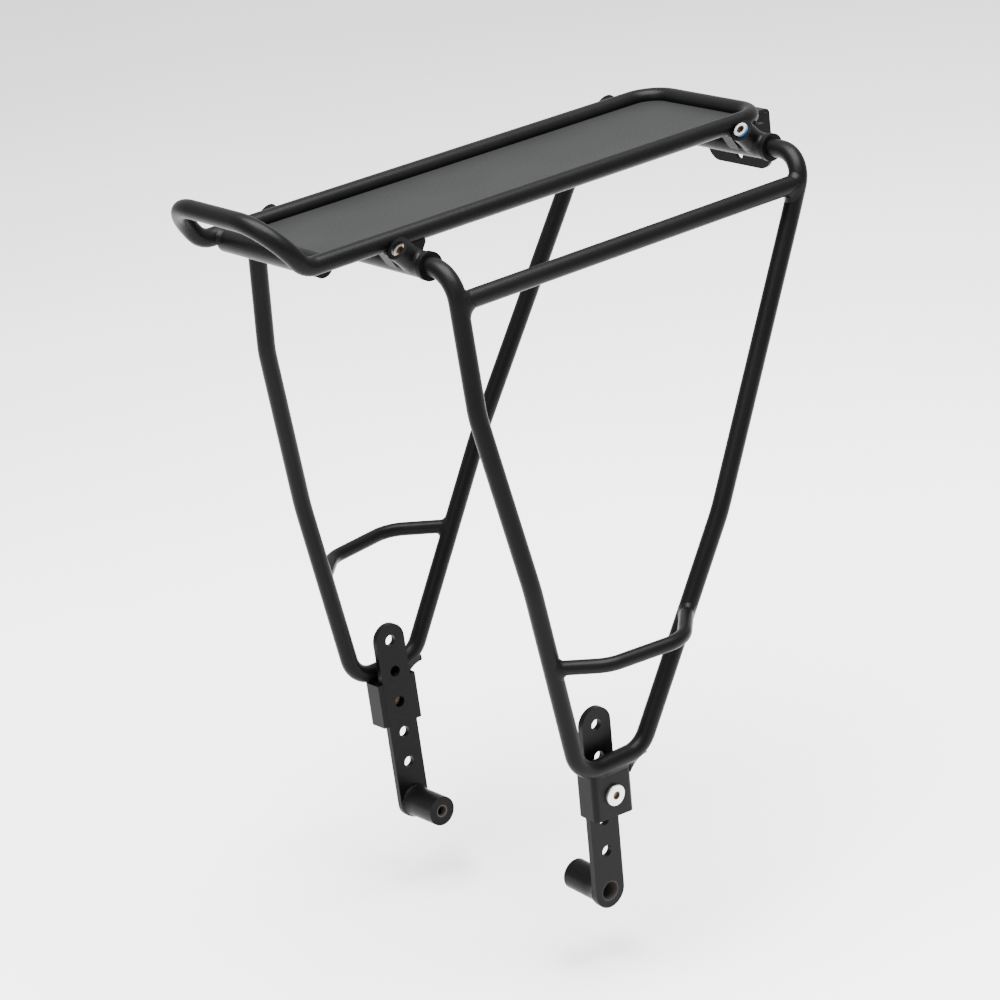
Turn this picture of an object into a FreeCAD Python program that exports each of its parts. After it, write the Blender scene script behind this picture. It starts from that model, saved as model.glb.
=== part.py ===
import FreeCAD, Part
import math
import os

os.makedirs("parts", exist_ok=True)

# Rear rack for a bicycle. Millimetres. X points forward, Y to the rider's left, Z up.
# Positions are measured from the plane of the two deck rails (z = 0 at the rail axes) and are
# moved at the end so that the origin sits at the bottom centre of the whole rack.
shift_x = -30.55
shift_z = 391.28

# Rods and tubes
rod_r = 5.0              # 10 mm solid aluminium rod: deck loop, side hoops, pannier rails
brace_r = 4.0            # 8 mm rod of the lower braces
tube_r = 7.0             # cross tubes, 14 mm outside
tube_bore_r = 6.0
nose_r = 6.5             # thick rod across the front of the platform

# Deck
rail_y = 45.0            # half spacing of the deck rails
deck_rear_x = -126.0
deck_corner_r = 17.0
hoop_foot_x = 186.8      # where the rails turn up into the front hoop
hoop_foot_r = 12.0
hoop_top_x = 205.6
hoop_top_z = 25.4
hoop_corner_r = 25.0
nose_x = 173.5
nose_z = -2.7
nose_half_y = 41.5
plate_top_z = -1.2
plate_thick = 2.0
plate_field_height = 0.3  # flat field that stops just short of the rails
plate_field_gap = 0.1

# Cross tubes and what sits on them
front_tube_x = 126.8
rear_tube_x = -110.5
tube_z = -12.0
tube_half = 64.6
saddle_half_y = 4.0
saddle_top_half_x = 12.5
saddle_foot_half_x = 7.5
saddle_top_z = -4.0
saddle_foot_z = -13.5
ring_r = 7.6             # bushing flange
ring_thick = 3.0
bushing_sleeve_r = 6.0
bushing_bore_r = 5.05    # sliding fit on the 10 mm rod
bushing_inner_y = 44.0
boss_y = 56.0
boss_r = 6.5
boss_top = 14.9          # from the tube axis, along the boss
boss_angle = 45.0        # forward of straight up
screw_r = 4.0            # M8 set screw
screw_bore_r = 4.05
screw_len = 8.0
screw_tip = 5.2          # tip distance from the tube axis when just clear of the rod
screw_hex = 4.0
screw_hex_depth = 4.0
loose_screw_out = 3.2    # the rear left screw stands this much further out

# Side frames
spigot_inner_y = 24.0
front_shoulder_y = 85.4
front_shoulder_r = 17.0
rear_shoulder_y = 92.0
rear_shoulder_r = 16.0
side_bottom_z = -300.0
side_bottom_r = 16.0
rail_front_yz = (86.2, -28.2)
rail_rear_xyz = (-105.6, 90.5, -26.8)
brace_z = -232.7
brace_front_y = 121.0
brace_rear_y = 128.0
brace_bend_r = 20.0

# Leg sockets, leg bars and bolts
leg_x = 73.2
bar_w = 20.0
bar_inner_y = 87.0
bar_outer_y = 90.5
bar_gap = 0.05           # between the bar and the back of its socket
slot_w = 20.1            # the bar slides in this slot
leg_lean = 2.0           # degrees that the legs lean in towards the wheel at the foot
socket_w = 27.0
socket_inner_y = 87.1
socket_outer_y = 100.6
socket_top_z = -304.0
socket_bottom_z = -331.5
socket_edge_r = 3.0
socket_bottom_rise = 2.2 # the lower end is cut slightly higher at the front
socket_web_y = 95.0      # web behind the socket: inner face and the shape of its hollow curve
socket_web_depth = 10.0
socket_web_lip = 3.0
socket_web_reach = 12.5
socket_web_sag = 1.9
hole_first_z = -279.6
hole_pitch = 19.2
hole_count = 5
hole_r = 3.3
bolt_hole_index = 2
eyelet_z = -381.2
eyelet_r = 8.75
eyelet_inner_y = 61.6
eyelet_flare_r = 9.8     # where the boss spreads into the bar
eyelet_flare_len = 8.0
eyelet_bore_r = 3.2
eyelet_bore_len = 4.5
eyelet_cbore_r = 5.5
bolt_r = 3.0
bolt_bore_r = 3.05
bolt_head_r = 6.0
bolt_head_edge_r = 0.6
bolt_head_under_y = 100.8
bolt_head_top_y = 102.6
bolt_shank_end_y = 91.9
bolt_point_r = 2.4
bolt_tip_y = 90.65
bolt_hex = 4.0
bolt_hex_depth = 1.5

# Light bracket at the back
flange_top_z = -5.0
flange_front_x = -121.0
bracket_x = -148.5       # middle of the upright sheet
bracket_thick = 2.0
bracket_half_y = 25.5
bracket_bottom_z = -41.0
bracket_corner_r = 9.0
bracket_bend_r = 3.0
bracket_hole_z = -35.0
bracket_hole_r = 2.75


def vec(x, y, z):
    return FreeCAD.Vector(x, y, z)


def mirrored(shape):
    """The same piece on the right-hand side."""
    return shape.mirror(vec(0, 0, 0), vec(0, 1, 0))


def cylinder(start, end, radius):
    axis = end.sub(start)
    return Part.makeCylinder(radius, axis.Length, start, axis)


def bent_path(points, bend_radii):
    """Straight runs joined by round bends, one bend radius for each inner corner."""
    edges = []
    run_start = points[0]
    for i in range(1, len(points) - 1):
        corner = points[i]
        back = points[i - 1].sub(corner).normalize()
        ahead = points[i + 1].sub(corner).normalize()
        half_angle = math.acos(max(-1.0, min(1.0, back.dot(ahead)))) / 2.0
        reach = bend_radii[i - 1] / math.tan(half_angle)
        bend_start = corner.add(FreeCAD.Vector(back).multiply(reach))
        bend_end = corner.add(FreeCAD.Vector(ahead).multiply(reach))
        inward = back.add(ahead).normalize()
        to_arc = bend_radii[i - 1] / math.sin(half_angle) - bend_radii[i - 1]
        bend_mid = corner.add(inward.multiply(to_arc))
        edges.append(Part.LineSegment(run_start, bend_start).toShape())
        edges.append(Part.Arc(bend_start, bend_mid, bend_end).toShape())
        run_start = bend_end
    edges.append(Part.LineSegment(run_start, points[-1]).toShape())
    return Part.Wire(edges)


def bent_rod(points, bend_radii, radius):
    path = bent_path(points, bend_radii)
    direction = points[1].sub(points[0])
    circle = Part.Wire(Part.makeCircle(radius, points[0], direction))
    return path.makePipeShell([circle], True, True)


def hexagon_socket(mouth, inward, across_flats, depth):
    """A six-sided pocket that opens at the point mouth and runs along inward."""
    inward = FreeCAD.Vector(inward).normalize()
    side = inward.cross(vec(0, 1, 0))
    if side.Length < 0.5:
        side = inward.cross(vec(1, 0, 0))
    side.normalize()
    other = inward.cross(side)
    corner_r = across_flats / math.sqrt(3.0)
    corners = []
    for i in range(7):
        turn = math.radians(60.0 * i)
        offset = FreeCAD.Vector(side).multiply(corner_r * math.cos(turn))
        offset = offset.add(FreeCAD.Vector(other).multiply(corner_r * math.sin(turn)))
        corners.append(mouth.add(offset))
    return Part.Face(Part.makePolygon(corners)).extrude(inward.multiply(depth))


def plain_box(x0, x1, y0, y1, z0, z1):
    return Part.makeBox(x1 - x0, y1 - y0, z1 - z0, vec(x0, y0, z0))


def make_deck_loop():
    """One rod: the two rails, the rear end and the upturned front hoop."""
    front = [
        vec(0, rail_y, 0),
        vec(hoop_foot_x, rail_y, 0),
        vec(hoop_top_x, rail_y, hoop_top_z),
        vec(hoop_top_x, 0, hoop_top_z),
    ]
    front_half = bent_rod(front, [hoop_foot_r, hoop_corner_r], rod_r)
    rear = [vec(0, rail_y, 0), vec(deck_rear_x, rail_y, 0), vec(deck_rear_x, 0, 0)]
    rear_half = bent_rod(rear, [deck_corner_r], rod_r)
    half = front_half.fuse(rear_half)
    return half.fuse(mirrored(half)).removeSplitter()


def make_nose_rail(deck_loop):
    rod = cylinder(vec(nose_x, -nose_half_y, nose_z), vec(nose_x, nose_half_y, nose_z), nose_r)
    return biggest(rod.cut(deck_loop))


def rounded_sheet(rear_x, front_x, half_y, z0, z1, rear_corner_r):
    """Flat sheet whose two rear corners follow the bends of the deck loop."""
    sheet = plain_box(rear_x, front_x, -half_y, half_y, z0, z1)
    rear_corners = []
    for edge in sheet.Edges:
        middle = edge.CenterOfMass
        if abs(middle.x - rear_x) < 0.01 and abs(abs(middle.y) - half_y) < 0.01:
            rear_corners.append(edge)
    return sheet.makeFillet(rear_corner_r, rear_corners)


def make_deck_plate(deck_loop, nose_rail):
    field_z = plate_top_z - plate_field_height
    inset = rod_r + plate_field_gap
    base = rounded_sheet(deck_rear_x, nose_x, rail_y, plate_top_z - plate_thick, field_z, deck_corner_r)
    field = rounded_sheet(deck_rear_x + inset, nose_x - nose_r - plate_field_gap, rail_y - inset, field_z,
                          plate_top_z, deck_corner_r - inset)
    return biggest(base.cut(deck_loop).cut(nose_rail).fuse(field))


def biggest(shape):
    """The main solid that is left after cutting."""
    return max(shape.Solids, key=lambda solid: solid.Volume)


def boss_direction():
    lean = math.radians(boss_angle)
    return vec(math.sin(lean), 0, math.cos(lean))


def along_boss(tube_x, distance):
    """A point on the axis of the left clamp boss."""
    return vec(tube_x, boss_y, tube_z).add(boss_direction().multiply(distance))


def make_cross_tube(tube_x):
    tube = cylinder(vec(tube_x, -tube_half, tube_z), vec(tube_x, tube_half, tube_z), tube_r)
    bore = cylinder(vec(tube_x, -tube_half, tube_z), vec(tube_x, tube_half, tube_z), tube_bore_r)
    screw_hole = cylinder(along_boss(tube_x, 0), along_boss(tube_x, boss_top), screw_bore_r)
    return tube.cut(bore).cut(screw_hole).cut(mirrored(screw_hole))


def make_saddle(tube_x, deck_loop):
    """Welded cradle that ties a rail to the cross tube underneath it."""
    y = rail_y - saddle_half_y
    outline = [
        vec(tube_x - saddle_top_half_x, y, saddle_top_z),
        vec(tube_x + saddle_top_half_x, y, saddle_top_z),
        vec(tube_x + saddle_top_half_x, y, -rod_r - 0.6),
        vec(tube_x + saddle_foot_half_x, y, saddle_foot_z),
        vec(tube_x - saddle_foot_half_x, y, saddle_foot_z),
        vec(tube_x - saddle_top_half_x, y, -rod_r - 0.6),
        vec(tube_x - saddle_top_half_x, y, saddle_top_z),
    ]
    block = Part.Face(Part.makePolygon(outline)).extrude(vec(0, 2 * saddle_half_y, 0))
    tube = cylinder(vec(tube_x, 0, tube_z), vec(tube_x, tube_half, tube_z), tube_r)
    return biggest(block.cut(deck_loop).cut(tube))


def make_clamp_boss(tube_x, deck_loop, saddle):
    boss = cylinder(along_boss(tube_x, 0), along_boss(tube_x, boss_top), boss_r)
    bore = cylinder(along_boss(tube_x, 0), along_boss(tube_x, boss_top), screw_bore_r)
    tube = cylinder(vec(tube_x, 0, tube_z), vec(tube_x, tube_half, tube_z), tube_r)
    return biggest(boss.cut(bore).cut(tube).cut(deck_loop).cut(saddle))


def make_bushing(tube_x):
    outer_y = tube_half + ring_thick
    ring = cylinder(vec(tube_x, tube_half, tube_z), vec(tube_x, outer_y, tube_z), ring_r)
    sleeve = cylinder(vec(tube_x, bushing_inner_y, tube_z), vec(tube_x, tube_half, tube_z), bushing_sleeve_r)
    bore = cylinder(vec(tube_x, bushing_inner_y, tube_z), vec(tube_x, outer_y, tube_z), bushing_bore_r)
    screw_hole = cylinder(along_boss(tube_x, 0), along_boss(tube_x, boss_top), screw_bore_r + 0.2)
    return biggest(ring.fuse(sleeve).cut(bore).cut(screw_hole))


def make_set_screw(tube_x, backed_out):
    tip = along_boss(tube_x, screw_tip + backed_out)
    head = along_boss(tube_x, screw_tip + backed_out + screw_len)
    body = cylinder(tip, head, screw_r)
    return body.cut(hexagon_socket(head, boss_direction().multiply(-1), screw_hex, screw_hex_depth))


def make_light_bracket():
    """Bent sheet: a flange welded under the rear end of the deck and an upright plate."""
    rear_x = bracket_x - bracket_thick / 2
    front_x = bracket_x + bracket_thick / 2
    flange = plain_box(rear_x, flange_front_x, -bracket_half_y, bracket_half_y,
                         flange_top_z - bracket_thick, flange_top_z)
    upright = plain_box(rear_x, front_x, -bracket_half_y, bracket_half_y, bracket_bottom_z, flange_top_z)
    sheet = flange.fuse(upright).removeSplitter()
    outside_bend = []
    inside_bend = []
    for edge in sheet.Edges:
        middle = edge.CenterOfMass
        if abs(middle.y) > 0.01:
            continue
        if abs(middle.x - rear_x) < 0.01 and abs(middle.z - flange_top_z) < 0.01:
            outside_bend.append(edge)
        if abs(middle.x - front_x) < 0.01 and abs(middle.z - flange_top_z + bracket_thick) < 0.01:
            inside_bend.append(edge)
    sheet = sheet.makeFillet(bracket_bend_r, outside_bend)
    inside_bend = [e for e in sheet.Edges if abs(e.CenterOfMass.y) < 0.01
                   and abs(e.CenterOfMass.x - front_x) < 0.01
                   and abs(e.CenterOfMass.z - flange_top_z + bracket_thick) < 0.01]
    sheet = sheet.makeFillet(bracket_bend_r - bracket_thick, inside_bend)
    corners = []
    for edge in sheet.Edges:
        middle = edge.CenterOfMass
        at_side = abs(abs(middle.y) - bracket_half_y) < 0.01
        if at_side and abs(middle.z - bracket_bottom_z) < 0.01 and abs(middle.x - bracket_x) < 0.01:
            corners.append(edge)
    sheet = sheet.makeFillet(bracket_corner_r, corners)
    hole = cylinder(vec(rear_x - 1, 0, bracket_hole_z), vec(front_x + 1, 0, bracket_hole_z), bracket_hole_r)
    return biggest(sheet.cut(hole))


def front_leg_point(z):
    """Axis of the left front leg below its inward bend."""
    return vec(95.6 + 0.1567 * (z + 290.0), 99.05 + 0.0115 * (z + 290.0), z)


def rear_leg_point(z):
    """Axis of the left rear leg."""
    return vec(44.63 - 0.5965 * (z + 290.0), 99.8 + 0.0273 * (z + 290.0), z)


def make_side_hoop():
    """One rod: spigot, front leg, bottom, rear leg and the second spigot."""
    points = [
        vec(front_tube_x, spigot_inner_y, tube_z),
        vec(front_tube_x, front_shoulder_y, tube_z),
        vec(front_tube_x, 91.2, -87.4),
        front_leg_point(-185.4),
        front_leg_point(side_bottom_z),
        rear_leg_point(side_bottom_z),
        rear_leg_point(-184.9),
        vec(-100.3, 89.5, -41.5),
        vec(rear_tube_x, rear_shoulder_y, tube_z),
        vec(rear_tube_x, spigot_inner_y, tube_z),
    ]
    radii = [front_shoulder_r, 60.0, 120.0, side_bottom_r, side_bottom_r, 120.0, 45.0, rear_shoulder_r]
    return bent_rod(points, radii, rod_r)


def make_pannier_rail(side_hoop):
    front = vec(front_tube_x, rail_front_yz[0], rail_front_yz[1])
    rear = vec(rail_rear_xyz[0], rail_rear_xyz[1], rail_rear_xyz[2])
    return biggest(cylinder(front, rear, rod_r).cut(side_hoop))


def make_lower_brace(side_hoop):
    front = front_leg_point(brace_z)
    rear = rear_leg_point(brace_z)
    points = [
        front,
        vec(front.x - (brace_front_y - front.y), brace_front_y, brace_z),
        vec(rear.x + (brace_rear_y - rear.y), brace_rear_y, brace_z),
        rear,
    ]
    return biggest(bent_rod(points, [brace_bend_r, brace_bend_r], brace_r).cut(side_hoop))


def bolt_hole_z():
    return hole_first_z - bolt_hole_index * hole_pitch


def leaned(shape):
    """Tips an upright left leg piece so that its foot comes in towards the wheel."""
    tipped = shape.copy()
    tipped.rotate(vec(leg_x, bar_inner_y, bolt_hole_z()), vec(1, 0, 0), -leg_lean)
    return tipped


def upright_prism(outline, inner_y, outer_y):
    """Solid with the given x, z outline, running from inner_y to outer_y."""
    corners = [vec(x, inner_y, z) for x, z in outline]
    return Part.Face(Part.makePolygon(corners + corners[:1])).extrude(vec(0, outer_y - inner_y, 0))


def make_socket_web():
    """Curved web that carries the back of the socket into the bend of the rod above it."""
    wall = vec(leg_x - socket_w / 2 + 0.5, socket_web_y, side_bottom_z)
    low = vec(wall.x, socket_web_y, side_bottom_z - socket_web_depth)
    far = vec(wall.x - socket_web_reach, socket_web_y, side_bottom_z - socket_web_lip)
    hollow = low.add(far).multiply(0.5).add(vec(0.5, 0, 0.87).multiply(socket_web_sag))
    back = vec(far.x, socket_web_y, side_bottom_z)
    outline = Part.Wire([
        Part.Arc(low, hollow, far).toShape(),
        Part.LineSegment(far, back).toShape(),
        Part.LineSegment(back, wall).toShape(),
        Part.LineSegment(wall, low).toShape(),
    ])
    return Part.Face(outline).extrude(vec(0, socket_outer_y - socket_web_y - 0.5, 0))


def make_leg_socket(side_hoop):
    """Channel open towards the wheel, welded under the bottom of the side hoop."""
    rear_x, front_x = leg_x - socket_w / 2, leg_x + socket_w / 2
    block = upright_prism([
        (rear_x, socket_bottom_z - socket_bottom_rise / 2),
        (front_x, socket_bottom_z + socket_bottom_rise / 2),
        (front_x, socket_top_z),
        (rear_x, socket_top_z),
    ], socket_inner_y, socket_outer_y)
    outer_edges = []
    for edge in block.Edges:
        middle = edge.CenterOfMass
        at_side = abs(abs(middle.x - leg_x) - socket_w / 2) < 0.01
        if at_side and abs(middle.y - socket_outer_y) < 0.01:
            outer_edges.append(edge)
    block = block.makeFillet(socket_edge_r, outer_edges).fuse(make_socket_web())
    slot = plain_box(leg_x - slot_w / 2, leg_x + slot_w / 2, socket_inner_y - 1, bar_outer_y + bar_gap,
                     socket_bottom_z - socket_bottom_rise, socket_top_z + 1)
    bore = cylinder(vec(leg_x, bar_inner_y, bolt_hole_z()), vec(leg_x, socket_outer_y + 1, bolt_hole_z()),
                    bolt_bore_r)
    return biggest(leaned(block.cut(slot).cut(bore)).cut(side_hoop))


def make_eyelet_boss():
    """Round boss that spreads in a hollow curve into the foot of the leg bar."""
    flare_start_y = bar_inner_y - eyelet_flare_len
    profile = Part.Wire([
        Part.LineSegment(vec(leg_x, eyelet_inner_y, eyelet_z),
                         vec(leg_x + eyelet_r, eyelet_inner_y, eyelet_z)).toShape(),
        Part.LineSegment(vec(leg_x + eyelet_r, eyelet_inner_y, eyelet_z),
                         vec(leg_x + eyelet_r, flare_start_y, eyelet_z)).toShape(),
        Part.Arc(vec(leg_x + eyelet_r, flare_start_y, eyelet_z),
                 vec(leg_x + eyelet_r + 0.3, flare_start_y + eyelet_flare_len * 0.6, eyelet_z),
                 vec(leg_x + eyelet_flare_r, bar_inner_y, eyelet_z)).toShape(),
        Part.LineSegment(vec(leg_x + eyelet_flare_r, bar_inner_y, eyelet_z),
                         vec(leg_x + eyelet_flare_r, bar_inner_y + 1.0, eyelet_z)).toShape(),
        Part.LineSegment(vec(leg_x + eyelet_flare_r, bar_inner_y + 1.0, eyelet_z),
                         vec(leg_x, bar_inner_y + 1.0, eyelet_z)).toShape(),
        Part.LineSegment(vec(leg_x, bar_inner_y + 1.0, eyelet_z),
                         vec(leg_x, eyelet_inner_y, eyelet_z)).toShape(),
    ])
    return Part.Face(profile).revolve(vec(leg_x, 0, eyelet_z), vec(0, 1, 0), 360)


def make_leg_bar():
    """Flat bar with a row of height holes and a long eyelet boss at its foot."""
    half_w = bar_w / 2
    left, right = leg_x - half_w, leg_x + half_w
    outline = Part.Wire([
        Part.LineSegment(vec(right, bar_inner_y, eyelet_z), vec(right, bar_inner_y, hole_first_z)).toShape(),
        Part.Arc(vec(right, bar_inner_y, hole_first_z), vec(leg_x, bar_inner_y, hole_first_z + half_w),
                 vec(left, bar_inner_y, hole_first_z)).toShape(),
        Part.LineSegment(vec(left, bar_inner_y, hole_first_z), vec(left, bar_inner_y, eyelet_z)).toShape(),
        Part.Arc(vec(left, bar_inner_y, eyelet_z), vec(leg_x, bar_inner_y, eyelet_z - half_w),
                 vec(right, bar_inner_y, eyelet_z)).toShape(),
    ])
    bar = Part.Face(outline).extrude(vec(0, bar_outer_y - bar_inner_y, 0))
    for i in range(hole_count):
        z = hole_first_z - i * hole_pitch
        bar = bar.cut(cylinder(vec(leg_x, bar_inner_y - 1, z), vec(leg_x, bar_outer_y + 1, z), hole_r))
    bar = bar.fuse(make_eyelet_boss())
    floor_y = eyelet_inner_y + eyelet_bore_len
    bore = cylinder(vec(leg_x, eyelet_inner_y - 1, eyelet_z), vec(leg_x, floor_y + 1, eyelet_z), eyelet_bore_r)
    counterbore = cylinder(vec(leg_x, floor_y, eyelet_z), vec(leg_x, bar_outer_y + 1, eyelet_z), eyelet_cbore_r)
    return leaned(biggest(bar.cut(counterbore).cut(bore)))


def make_height_bolt():
    z = bolt_hole_z()
    head = cylinder(vec(leg_x, bolt_head_under_y, z), vec(leg_x, bolt_head_top_y, z), bolt_head_r)
    shank = cylinder(vec(leg_x, bolt_shank_end_y, z), vec(leg_x, bolt_head_under_y, z), bolt_r)
    point = cylinder(vec(leg_x, bolt_tip_y, z), vec(leg_x, bolt_shank_end_y, z), bolt_point_r)
    rim = [e for e in head.Edges if abs(e.CenterOfMass.y - bolt_head_top_y) < 0.01]
    head = head.makeFillet(bolt_head_edge_r, rim)
    bolt = head.fuse(shank).fuse(point)
    socket = hexagon_socket(vec(leg_x, bolt_head_top_y, z), vec(0, -1, 0), bolt_hex, bolt_hex_depth)
    return leaned(bolt.cut(socket))


def export(name, shape):
    placed = shape.copy()
    placed.translate(vec(shift_x, 0, shift_z))
    placed.exportStep(os.path.join("parts", name + ".step"))


def export_pair(name, shape):
    """A left piece and its mirror image on the right."""
    export(name + "_left", shape)
    export(name + "_right", mirrored(shape))


def main():
    deck_loop = make_deck_loop()
    nose_rail = make_nose_rail(deck_loop)
    export("deck_loop", deck_loop)
    export("nose_rail", nose_rail)
    export("deck_plate", make_deck_plate(deck_loop, nose_rail))
    export("light_bracket", make_light_bracket())
    for end, tube_x in (("front", front_tube_x), ("rear", rear_tube_x)):
        export(end + "_cross_tube", make_cross_tube(tube_x))
        saddle = make_saddle(tube_x, deck_loop)
        export_pair("saddle_" + end, saddle)
        export_pair("clamp_boss_" + end, make_clamp_boss(tube_x, deck_loop, saddle))
        export_pair("bushing_" + end, make_bushing(tube_x))
        left_out = loose_screw_out if end == "rear" else 0.0
        export("set_screw_" + end + "_left", make_set_screw(tube_x, left_out))
        export("set_screw_" + end + "_right", mirrored(make_set_screw(tube_x, 0.0)))
    side_hoop = make_side_hoop()
    export_pair("side_hoop", side_hoop)
    export_pair("pannier_rail", make_pannier_rail(side_hoop))
    export_pair("lower_brace", make_lower_brace(side_hoop))
    export_pair("leg_socket", make_leg_socket(side_hoop))
    export_pair("leg_bar", make_leg_bar())
    export_pair("height_bolt", make_height_bolt())


main()
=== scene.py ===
import math

import bmesh
import bpy
from mathutils import Matrix, Vector
from mathutils.bvhtree import BVHTree


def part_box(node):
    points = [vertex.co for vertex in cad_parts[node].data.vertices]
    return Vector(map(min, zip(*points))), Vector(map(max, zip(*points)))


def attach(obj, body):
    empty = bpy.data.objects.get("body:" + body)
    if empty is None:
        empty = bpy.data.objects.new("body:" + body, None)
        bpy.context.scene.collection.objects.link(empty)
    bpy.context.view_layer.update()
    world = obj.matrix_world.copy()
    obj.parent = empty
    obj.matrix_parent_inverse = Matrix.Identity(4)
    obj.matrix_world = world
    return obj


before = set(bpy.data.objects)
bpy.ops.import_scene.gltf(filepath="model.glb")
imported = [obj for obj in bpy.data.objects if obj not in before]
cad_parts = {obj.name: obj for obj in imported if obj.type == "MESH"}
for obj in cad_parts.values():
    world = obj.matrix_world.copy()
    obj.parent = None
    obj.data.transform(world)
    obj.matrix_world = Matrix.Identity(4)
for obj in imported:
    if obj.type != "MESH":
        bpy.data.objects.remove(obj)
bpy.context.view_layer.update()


# ---------------------------------------------------------------- sizes

MM = 0.001
ROD_R = 5.0 * MM

SLANT = Vector((1, 0, 1)).normalized()   # the way a set screw runs out of its boss
SCREW_LEN = 8.0 * MM
SCREW_THREAD_R = 3.5 * MM
HEX_R = 2.4 * MM
THREADLOCK_DEPTH = 0.75 * MM             # from the screw's outer end to where the blue begins

BAR_LEAN = math.radians(2.0)             # both leg bars lean in towards the wheel
EYELET_RISE = 11.0 * MM                  # from the foot of a leg bar up to the eyelet's axis
EYELET_END_INSET = 0.3 * MM              # from the side of the box round a bar to the leaning boss's end
EYELET_BORE_BARE_R = 3.8 * MM            # bare metal reaches this far round the bore
EYELET_CBORE_BARE_R = 5.85 * MM          # and this far in the counterbore at the outer end
EYELET_CBORE_DEPTH = 12.0 * MM           # from the inner end to where the wider limit takes over
EYELET_ROOT_DEPTH = 24.6 * MM            # from the inner end to the weld at the root of the boss
EYELET_ROOT_R = 8.4 * MM

LOWEST_FOOT_Z = -38.5 * MM               # the feet with both leg bars let down as far as they go


def corners_of(node):
    return tuple(Vector(corner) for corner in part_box(node))


def eyelet_axis(node):
    """Middle of the eyelet boss's inner end, the way out along the boss and the way up the leaning bar."""
    side = 1 if node.endswith("left") else -1
    low, high = corners_of(node)
    inner_y = min(abs(low.y), abs(high.y)) + EYELET_END_INSET
    inner_end = Vector(((low.x + high.x) / 2, side * inner_y, low.z + EYELET_RISE))
    outward = Vector((0, side * math.cos(BAR_LEAN), -math.sin(BAR_LEAN)))
    upward = Vector((0, side * math.sin(BAR_LEAN), math.cos(BAR_LEAN)))
    return inner_end, outward, upward


# ---------------------------------------------------------------- shader nodes

def new_material(name):
    material = bpy.data.materials.new(name)
    material.use_nodes = True
    tree = material.node_tree
    shader = tree.nodes["Principled BSDF"]
    return material, tree, shader


def add(tree, kind, **values):
    node = tree.nodes.new(kind)
    for key, value in values.items():
        setattr(node, key, value)
    return node


def object_coords(tree):
    return add(tree, "ShaderNodeTexCoord").outputs["Object"]


def feed(tree, value, socket):
    """Gives a socket a plain value, or links it to another node's output."""
    if isinstance(value, bpy.types.NodeSocket):
        tree.links.new(value, socket)
    elif value is not None:
        socket.default_value = value


def noise(tree, coords, scale, detail=3.0):
    node = add(tree, "ShaderNodeTexNoise")
    node.inputs["Scale"].default_value = scale
    node.inputs["Detail"].default_value = detail
    feed(tree, coords, node.inputs["Vector"])
    return node.outputs["Fac"]


def spread(tree, value, low, high):
    """Stretches a noise, which mostly lies between 0.3 and 0.7, over the range from low to high."""
    node = add(tree, "ShaderNodeMapRange")
    node.inputs["From Min"].default_value = 0.3
    node.inputs["From Max"].default_value = 0.7
    node.inputs["To Min"].default_value = low
    node.inputs["To Max"].default_value = high
    feed(tree, value, node.inputs["Value"])
    return node.outputs["Result"]


def tint(tree, value, low, high):
    """Turns a noise into a colour between low and high."""
    ramp = add(tree, "ShaderNodeValToRGB")
    for element, position, color in zip(ramp.color_ramp.elements, (0.35, 0.65), (low, high)):
        element.position = position
        element.color = (*color, 1)
    feed(tree, value, ramp.inputs["Fac"])
    return ramp.outputs["Color"]


def bump(tree, shader, height, strength, distance):
    node = add(tree, "ShaderNodeBump")
    node.inputs["Strength"].default_value = strength
    node.inputs["Distance"].default_value = distance
    feed(tree, height, node.inputs["Height"])
    feed(tree, node.outputs["Normal"], shader.inputs["Normal"])


def mix_color(tree, mask, first, second):
    """The first colour where the mask is 0 and the second, a plain colour, where it is 1."""
    node = add(tree, "ShaderNodeMix", data_type="RGBA")
    colors = [socket for socket in node.inputs if socket.type == "RGBA"]
    feed(tree, mask, node.inputs["Factor"])
    feed(tree, first, colors[0])
    feed(tree, (*second, 1), colors[1])
    return next(socket for socket in node.outputs if socket.type == "RGBA")


def maths(tree, kind, first, second):
    node = add(tree, "ShaderNodeMath", operation=kind)
    feed(tree, first, node.inputs[0])
    feed(tree, second, node.inputs[1])
    return node.outputs[0]


def vector_maths(tree, kind, first, second, output="Vector"):
    node = add(tree, "ShaderNodeVectorMath", operation=kind)
    feed(tree, first, node.inputs[0])
    feed(tree, second, node.inputs[1])
    return node.outputs[output]


def off_axis(tree, coords, anchor, axis):
    """Distance from the line through anchor along axis."""
    away = vector_maths(tree, "SUBTRACT", coords, anchor)
    return vector_maths(tree, "LENGTH", vector_maths(tree, "CROSS_PRODUCT", away, axis), None, "Value")


def along_axis(tree, coords, anchor, axis):
    """Distance from anchor, measured along axis."""
    away = vector_maths(tree, "SUBTRACT", coords, anchor)
    return vector_maths(tree, "DOT_PRODUCT", away, axis, "Value")


# ---------------------------------------------------------------- materials

def powder_coat(name, dark, light, rough, grain, gloss):
    """Baked powder coat: slightly uneven tone and sheen over a fine orange-peel surface."""
    material, tree, shader = new_material(name)
    coords = object_coords(tree)
    broad = noise(tree, coords, 18.0)
    fine = noise(tree, coords, 900.0, detail=2.0)
    feed(tree, tint(tree, broad, dark, light), shader.inputs["Base Color"])
    feed(tree, spread(tree, fine, *rough), shader.inputs["Roughness"])
    shader.inputs["Specular IOR Level"].default_value = gloss
    bump(tree, shader, fine, grain, 0.25 * MM)
    return material


def black_coat(name):
    """The coat of every rod, tube, bracket and bar."""
    return powder_coat(name, dark=(0.0015, 0.0015, 0.0016), light=(0.0024, 0.0023, 0.0024),
                       rough=(0.34, 0.43), grain=0.10, gloss=0.065)


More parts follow.
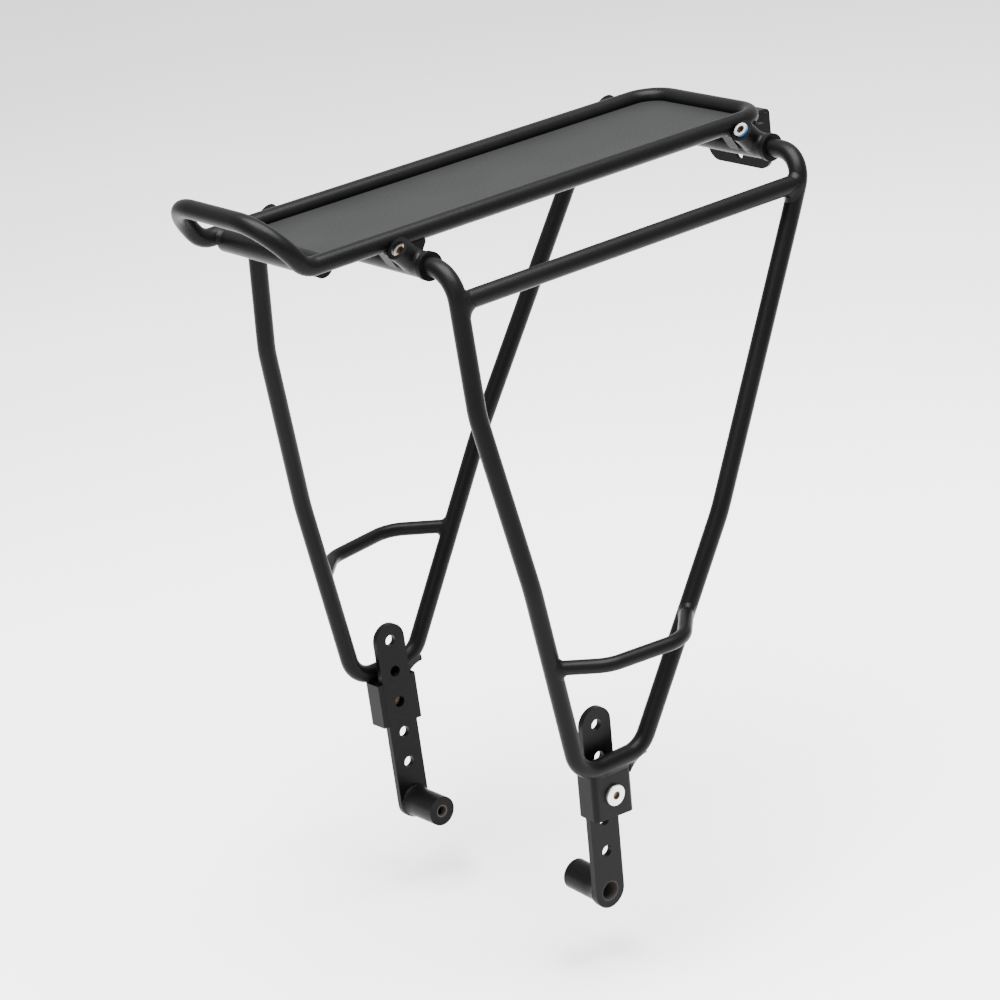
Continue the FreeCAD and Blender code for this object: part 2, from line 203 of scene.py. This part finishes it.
def moulded_plastic(name, dark, light):
    material, tree, shader = new_material(name)
    coords = object_coords(tree)
    broad = noise(tree, coords, 60.0)
    fine = noise(tree, coords, 1200.0, detail=2.0)
    feed(tree, tint(tree, broad, dark, light), shader.inputs["Base Color"])
    feed(tree, spread(tree, fine, 0.42, 0.6), shader.inputs["Roughness"])
    shader.inputs["Specular IOR Level"].default_value = 0.05
    bump(tree, shader, fine, 0.15, 0.2 * MM)
    return material


def bright_steel(name, head, axis, threadlock=None):
    """Stainless screw with a brown stain in its hexagon; threadlock is the depth where the blue begins."""
    material, tree, shader = new_material(name)
    coords = object_coords(tree)
    broad = noise(tree, coords, 120.0)
    fine = noise(tree, coords, 1500.0, detail=2.0)
    color = tint(tree, broad, (0.52, 0.51, 0.50), (0.66, 0.66, 0.65))
    radius = off_axis(tree, coords, head, axis)
    in_hex = maths(tree, "LESS_THAN", radius, HEX_R)
    color = mix_color(tree, in_hex, color, (0.085, 0.055, 0.035))
    metal = maths(tree, "SUBTRACT", 1.0, maths(tree, "MULTIPLY", in_hex, 0.5))
    if threadlock:
        below = along_axis(tree, coords, head, -axis)
        uneven = maths(tree, "MULTIPLY", noise(tree, coords, 420.0), 1.2 * MM)
        deep = maths(tree, "GREATER_THAN", maths(tree, "ADD", below, uneven), threadlock)
        outer = maths(tree, "GREATER_THAN", radius, SCREW_THREAD_R)
        blue = maths(tree, "MULTIPLY", deep, outer)
        color = mix_color(tree, blue, color, (0.02, 0.10, 0.22))
        metal = maths(tree, "MULTIPLY", metal, maths(tree, "SUBTRACT", 1.0, blue))
    feed(tree, color, shader.inputs["Base Color"])
    feed(tree, metal, shader.inputs["Metallic"])
    feed(tree, spread(tree, fine, 0.30, 0.42), shader.inputs["Roughness"])
    bump(tree, shader, fine, 0.08, 0.1 * MM)
    return material


def screw_look(node):
    low, high = corners_of(node)
    outer_end = (low + high) / 2 + SLANT * SCREW_LEN / 2
    threadlock = THREADLOCK_DEPTH if node == "set_screw_rear_left" else None
    return bright_steel(node + "_steel", outer_end, SLANT, threadlock)


def bolt_look(node):
    low, high = corners_of(node)
    return bright_steel(node + "_steel", (low + high) / 2, Vector((0, 1, 0)))


def leg_look(node):
    """Black coat with bare, dirty metal inside the eyelet's bore and counterbore."""
    inner_end, outward, _ = eyelet_axis(node)
    material = black_coat(node + "_coat")
    tree = material.node_tree
    shader = tree.nodes["Principled BSDF"]
    coords = object_coords(tree)
    ragged = maths(tree, "MULTIPLY", noise(tree, coords, 900.0), 0.3 * MM)
    distance = maths(tree, "ADD", off_axis(tree, coords, inner_end, outward), ragged)
    depth = along_axis(tree, coords, inner_end, outward)
    outer_end = maths(tree, "GREATER_THAN", depth, EYELET_CBORE_DEPTH)
    widening = maths(tree, "MULTIPLY", outer_end, EYELET_CBORE_BARE_R - EYELET_BORE_BARE_R)
    bare = maths(tree, "LESS_THAN", distance, maths(tree, "ADD", widening, EYELET_BORE_BARE_R))
    coat_color = shader.inputs["Base Color"].links[0].from_socket
    feed(tree, mix_color(tree, bare, coat_color, (0.050, 0.044, 0.040)), shader.inputs["Base Color"])
    feed(tree, maths(tree, "MULTIPLY", bare, 0.3), shader.inputs["Metallic"])
    return material


COAT = black_coat("rod_coat")
SHEET = powder_coat("sheet_coat", dark=(0.0072, 0.0076, 0.0074), light=(0.0086, 0.0090, 0.0088),
                    rough=(0.50, 0.60), grain=0.12, gloss=0.08)
PLASTIC = moulded_plastic("ring_plastic", dark=(0.0012, 0.0012, 0.0013), light=(0.0022, 0.0022, 0.0023))


def look_of(name):
    if name.startswith("bushing"):
        return PLASTIC
    if name.startswith("set_screw"):
        return screw_look(name)
    if name.startswith("height_bolt"):
        return bolt_look(name)
    if name.startswith("leg_bar"):
        return leg_look(name)
    return SHEET if name == "deck_plate" else COAT


for name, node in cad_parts.items():
    node.data.materials.clear()
    node.data.materials.append(look_of(name))


# ---------------------------------------------------------------- seams between welded parts

TOUCH = 0.12 * MM          # skins closer than this count as touching
SEARCH = 5 * MM
SAME_CORNER = 0.002 * MM


def merged(node_name):
    """The node's mesh with its split corners joined again."""
    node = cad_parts[node_name]
    work = bmesh.new()
    work.from_mesh(node.data)
    work.transform(node.matrix_world)
    bmesh.ops.remove_doubles(work, verts=work.verts, dist=SAME_CORNER)
    return work


def touching_faces(mesh, tree):
    """Numbers of the faces that lie on the skin held in the tree."""
    def near(point):
        gap = tree.find_nearest(point, SEARCH)[3]
        return gap is not None and gap < TOUCH

    close = {corner.index for corner in mesh.verts if near(corner.co)}
    touching = set()
    for face in mesh.faces:
        if all(corner.index in close for corner in face.verts) and near(face.calc_center_median()):
            touching.add(face.index)
    return touching


def walk(links, unused):
    """Follows links from the lowest unused corner for as long as they lead on."""
    line = [min(unused)]
    unused.discard(line[0])
    while True:
        ahead = [other for other in links[line[-1]] if other in unused]
        if not ahead:
            return line
        line.append(ahead[0])
        unused.discard(ahead[0])


def seam_loops(mesh, host_tree):
    """Closed lines where the piece's skin leaves its host, as lists of (point, the piece's normal)."""
    touching = touching_faces(mesh, host_tree)
    links = {}
    for edge in mesh.edges:
        count = sum(face.index in touching for face in edge.link_faces)
        if len(edge.link_faces) == 2 and count == 1:
            first, second = (corner.index for corner in edge.verts)
            links.setdefault(first, []).append(second)
            links.setdefault(second, []).append(first)
    mesh.verts.ensure_lookup_table()
    loops = []
    unused = set(links)
    fewest_corners = 6
    while unused:
        line = walk(links, unused)
        if len(line) < fewest_corners or line[0] not in links[line[-1]]:
            continue
        loop = []
        for corner in (mesh.verts[index] for index in line):
            outside = [face.normal for face in corner.link_faces if face.index not in touching]
            loop.append((corner.co.copy(), sum(outside, Vector()).normalized()))
        loops.append(loop)
    return loops


def loop_length(loop):
    return sum((loop[i][0] - loop[i - 1][0]).length for i in range(len(loop)))


# ---------------------------------------------------------------- lines and rings

def evenly(points, step, closed):
    """The same line with points a fixed step apart."""
    line = points + [points[0]] if closed else list(points)
    result = [line[0].copy()]
    left_over = 0.0
    for start, end in zip(line, line[1:]):
        run = (end - start).length
        at = step - left_over
        while at <= run:
            result.append(start.lerp(end, at / run))
            at += step
        left_over = run - (at - step)
    return result


def neighbours(line, i, closed):
    before = line[i - 1] if closed or i > 0 else line[0]
    after = line[(i + 1) % len(line)] if closed or i + 1 < len(line) else line[-1]
    return before, after


def smoothed(points, closed, times):
    line = list(points)
    for _ in range(times):
        smooth = []
        for i, point in enumerate(line):
            before, after = neighbours(line, i, closed)
            smooth.append((before + point * 2 + after) / 4)
        line = smooth
    return line


def ring_faces(count, sides, closed):
    """Faces that join each ring of corners to the next one."""
    faces = []
    for i in range(count if closed else count - 1):
        after = (i + 1) % count
        for k in range(sides):
            over = (k + 1) % sides
            faces.append((i * sides + k, i * sides + over, after * sides + over, after * sides + k))
    return faces


def wave(distance, length, phase=0.0):
    return math.sin(2 * math.pi * distance / length + phase)


# ---------------------------------------------------------------- welds

def weld_piece(name, body, corners, faces):
    mesh = bpy.data.meshes.new(name)
    mesh.from_pydata([tuple(corner) for corner in corners], [], faces)
    mesh.shade_smooth()
    mesh.materials.append(COAT)
    piece = bpy.data.objects.new(name, mesh)
    bpy.context.scene.collection.objects.link(piece)
    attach(piece, body)


def bead(name, body, points, radius, closed, ripple=0.06, pitch=1.9 * MM):
    """A rippled round bead laid along a line, narrower at its two ends if the line is open."""
    step = 0.35 * MM
    sides = 10
    end_width = 0.45
    line = smoothed(evenly(points, step, closed), closed, times=3)
    count = len(line)
    corners = []
    side = None
    for i, middle in enumerate(line):
        before, after = neighbours(line, i, closed)
        ahead = (after - before).normalized()
        if side is None:
            side = ahead.orthogonal().normalized()
        side = (side - ahead * side.dot(ahead)).normalized()
        other = ahead.cross(side)
        swell = 1.0 + ripple * wave(i * step, pitch)
        swell += 0.06 * wave(i * step, 2 * math.pi * 3.1 * MM, 1.3)
        if not closed:
            swell *= min(1.0, end_width + (1 - end_width) * min(i, count - 1 - i) * step / radius)
        for k in range(sides):
            turn = 2 * math.pi * k / sides
            corners.append(middle + (side * math.cos(turn) + other * math.sin(turn)) * radius * swell)
    faces = ring_faces(count, sides, closed)
    if not closed:
        faces.append(tuple(reversed(range(sides))))
        faces.append(tuple((count - 1) * sides + k for k in range(sides)))
    weld_piece(name, body, corners, faces)


def up_the_skin(along, normal, other_normal):
    """The way up one skin, square to the seam and away from the other skin."""
    way = along.cross(normal).normalized()
    return -way if way.dot(other_normal) < 0 else way


def fillet(name, body, loop, piece_tree, host_tree, reach, underside):
    """A hollow weld that runs from the piece to its host; underside widens it towards its lowest point."""
    step = 0.4 * MM
    line = smoothed(evenly([point for point, _ in loop], step, True), True, times=3)
    top_z = max(point.z for point in line)
    drop = max(top_z - min(point.z for point in line), 0.1 * MM)
    on_piece, on_host, outward = [], [], []
    for i, root in enumerate(line):
        before, after = neighbours(line, i, True)
        along = (after - before).normalized()
        piece_normal = min(loop, key=lambda spot: (spot[0] - root).length)[1]
        host_normal = host_tree.find_nearest(root + piece_normal * 0.2 * MM)[1]
        swell = 1.0 + 0.05 * wave(i * step, 2.2 * MM)
        swell += 0.08 * wave(i * step, 2 * math.pi * 3.7 * MM, 0.8)
        wide = reach * swell * (1.0 + underside * ((top_z - root.z) / drop) ** 2)
        up_piece = up_the_skin(along, piece_normal, host_normal)
        up_host = up_the_skin(along, host_normal, piece_normal)
        on_piece.append(piece_tree.find_nearest(root + up_piece * wide)[0])
        on_host.append(host_tree.find_nearest(root + up_host * wide)[0])
        outward.append((piece_normal + host_normal).normalized())
    on_piece, on_host, outward = (smoothed(points, True, times=4) for points in (on_piece, on_host, outward))

    edge_depth = 0.08 * MM      # how far the weld's two edges lie under the skins
    root_depth = 0.35 * MM
    fullness = 0.12             # 0 is the most hollow; 0.5 is flat in a square corner
    steps = 5
    corners = []
    for root, start, end, out in zip(line, on_piece, on_host, outward):
        start = start - out * edge_depth
        end = end - out * edge_depth
        middle = root + out * fullness * (start - end).length
        for k in range(steps + 1):
            t = k / steps
            corners.append(start * (1 - t) ** 2 + middle * 2 * t * (1 - t) + end * t ** 2)
        corners.append(root - out * root_depth)
    weld_piece(name, body, corners, ring_faces(len(line), steps + 2, closed=True))


def weld(piece, host, body, reach, count=1, underside=0.0):
    """Lays a fillet along the longest seams between a piece and the part it is welded to."""
    piece_mesh, host_mesh = merged(piece), merged(host)
    piece_tree, host_tree = BVHTree.FromBMesh(piece_mesh), BVHTree.FromBMesh(host_mesh)
    loops = sorted(seam_loops(piece_mesh, host_tree), key=loop_length, reverse=True)
    for i, loop in enumerate(loops[:count]):
        name = "weld_" + piece + "_" + str(i) + "_" + host
        fillet(name, body, loop, piece_tree, host_tree, reach, underside)
    piece_mesh.free()
    host_mesh.free()


def make_eyelet_weld(side):
    """Bead round the root of the eyelet boss, where it meets the foot of the leaning leg bar."""
    inner_end, outward, upward = eyelet_axis("leg_bar_" + side)
    forward = Vector((1, 0, 0))
    root = inner_end + outward * EYELET_ROOT_DEPTH
    ring = []
    points = 48
    for i in range(points):
        turn = 2 * math.pi * i / points
        ring.append(root + (forward * math.cos(turn) + upward * math.sin(turn)) * EYELET_ROOT_R)
    bead("weld_leg_bar_" + side, "leg_" + side, ring, 1.5 * MM, closed=True, ripple=0.05, pitch=2.3 * MM)


def make_bracket_welds():
    """Two short beads in the corner between the flange and the rear end of the deck rod."""
    high = corners_of("light_bracket")[1]
    rod_back_x = corners_of("deck_loop")[0].x
    weld_x = rod_back_x + ROD_R * 0.35
    weld_z = high.z + 0.7 * MM
    for side, sign in (("left", 1), ("right", -1)):
        start = Vector((weld_x, sign * high.y * 0.35, weld_z))
        end = Vector((weld_x, sign * high.y * 0.95, weld_z))
        bead("weld_light_bracket_" + side, "deck", [start, end], 1.3 * MM, closed=False)


def make_welds():
    weld("nose_rail", "deck_loop", "deck", reach=2.0 * MM, count=2)
    for end in ("front", "rear"):
        tube = end + "_cross_tube"
        for side in ("left", "right"):
            saddle = "saddle_" + end + "_" + side
            weld(saddle, tube, "deck", reach=1.7 * MM)
            weld(saddle, "deck_loop", "deck", reach=1.7 * MM)
            weld("clamp_boss_" + end + "_" + side, tube, "deck", reach=1.8 * MM)
    for side in ("left", "right"):
        hoop = "side_hoop_" + side
        body = "side_" + side
        weld("pannier_rail_" + side, hoop, body, reach=2.4 * MM, count=2, underside=1.3)
        weld("lower_brace_" + side, hoop, body, reach=2.2 * MM, count=2, underside=0.5)
        weld("leg_socket_" + side, hoop, body, reach=2.0 * MM)
        make_eyelet_weld(side)
    make_bracket_welds()


# ---------------------------------------------------------------- floor, light and camera

def make_floor():
    """The floor lies where the feet reach when both leg bars are let down."""
    bpy.ops.mesh.primitive_plane_add(size=60, location=(0, 0, LOWEST_FOOT_Z))
    floor = bpy.context.object
    floor.name = "floor"
    material, tree, shader = new_material("floor_paper")
    soft = noise(tree, object_coords(tree), 3.0)
    feed(tree, tint(tree, soft, (0.86, 0.86, 0.86), (0.88, 0.88, 0.88)), shader.inputs["Base Color"])
    shader.inputs["Roughness"].default_value = 0.9
    shader.inputs["Specular IOR Level"].default_value = 0.1
    floor.data.materials.append(material)


def softbox(name, place, aim, size, watts):
    light = bpy.data.lights.new(name, "AREA")
    light.shape = "RECTANGLE"
    light.size, light.size_y = size
    light.energy = watts
    lamp = bpy.data.objects.new(name, light)
    bpy.context.scene.collection.objects.link(lamp)
    lamp.location = place
    lamp.rotation_euler = (Vector(aim) - Vector(place)).to_track_quat("-Z", "Y").to_euler()


def make_light():
    world = bpy.data.worlds.new("studio")
    bpy.context.scene.world = world
    world.use_nodes = True
    background = world.node_tree.nodes["Background"]
    background.inputs["Color"].default_value = (1.0, 1.0, 1.0, 1)
    background.inputs["Strength"].default_value = 1.4
    softbox("overhead", place=(0.1, 0.2, 1.7), aim=(0, 0, 0.3), size=(1.6, 1.2), watts=190)
    softbox("front_fill", place=(1.6, 0.6, 0.9), aim=(0, 0, 0.25), size=(1.0, 1.0), watts=9)


def make_camera():
    """A long lens in front of the rack, to its left and above it, rolled by a few degrees."""
    data = bpy.data.cameras.new("photo_view")
    data.lens = 115.87
    data.sensor_width = 36.0
    data.clip_end = 100
    data.dof.use_dof = False
    camera = bpy.data.objects.new("photo_view", data)
    bpy.context.scene.collection.objects.link(camera)
    place = Matrix.Translation((1.00955, 1.3063, 0.85108))
    sight = Vector((-0.5628, -0.7424, -0.3634)).to_track_quat("-Z", "Y").to_matrix().to_4x4()
    roll = Matrix.Rotation(math.radians(-6.77), 4, "Z")
    camera.matrix_world = place @ sight @ roll
    bpy.context.scene.camera = camera


make_welds()
make_floor()
make_light()
make_camera()

bpy.context.view_layer.update()
